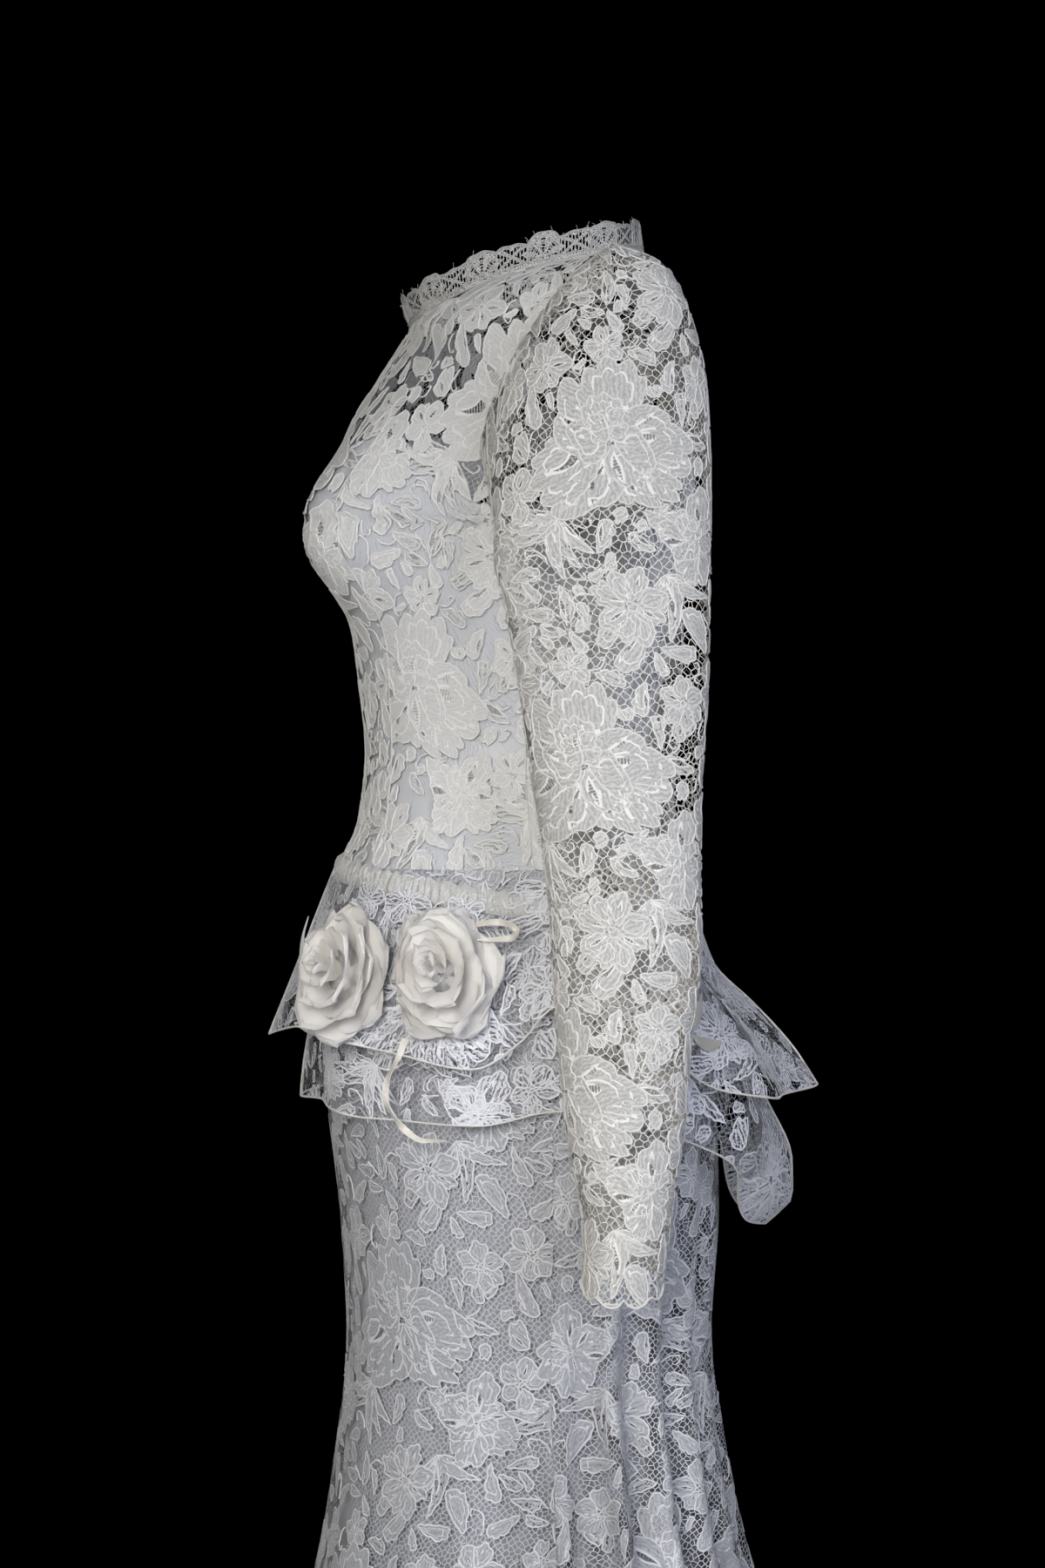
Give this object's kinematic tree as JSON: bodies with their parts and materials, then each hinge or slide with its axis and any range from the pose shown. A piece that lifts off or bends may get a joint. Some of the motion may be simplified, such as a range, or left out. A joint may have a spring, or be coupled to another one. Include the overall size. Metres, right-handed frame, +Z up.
{
  "type": "wedding dress",
  "caption": "Long-sleeved floor-length wedding dress of corded floral lace over a strapless satin underdress, with a tiered hip peplum, organza roses and a trumpet skirt.",
  "frame": {"origin": "middle of the neck opening at the height of the shoulder seams, where the wearer's shoulders carry the dress", "axes": "+Z up, the front of the dress faces -Y, the wearer's left is +X"},
  "size_m": [0.8118, 0.8019, 1.4307],
  "materials": {
    "lace": "corded cotton lace, matt",
    "satin": "satin, soft sheen",
    "edging": "raschel lace trim, matt",
    "organza": "silk organza, low sheen",
    "ribbon": "satin ribbon",
    "button": "satin-covered button"
  },
  "bodies": {
    "root": {"bodice_back_left": "lace", "bodice_back_right": "lace", "bodice_centre_front": "lace", "bodice_side_front_left": "lace", "bodice_side_front_right": "lace", "button_01": "button", "button_02": "button", "button_03": "button", "button_04": "button", "button_05": "button", "button_06": "button", "button_07": "button", "button_08": "button", "button_09": "button", "button_10": "button", "neck_edging": "edging", "peplum_lower_left": "lace", "peplum_lower_right": "lace", "peplum_upper_left": "lace", "peplum_upper_right": "lace", "ribbon_loop": "ribbon", "ribbon_tail": "ribbon", "rose_front": "organza", "rose_leaf": "organza", "rose_side": "organza", "skirt_back_left": "lace", "skirt_back_right": "lace", "skirt_front": "lace", "sleeve_left": "lace", "sleeve_right": "lace", "slip_back_left": "satin", "slip_back_right": "satin", "slip_front": "satin", "underdress_back_left": "satin", "underdress_back_right": "satin", "underdress_front": "satin"}
  },
  "joints": []
}
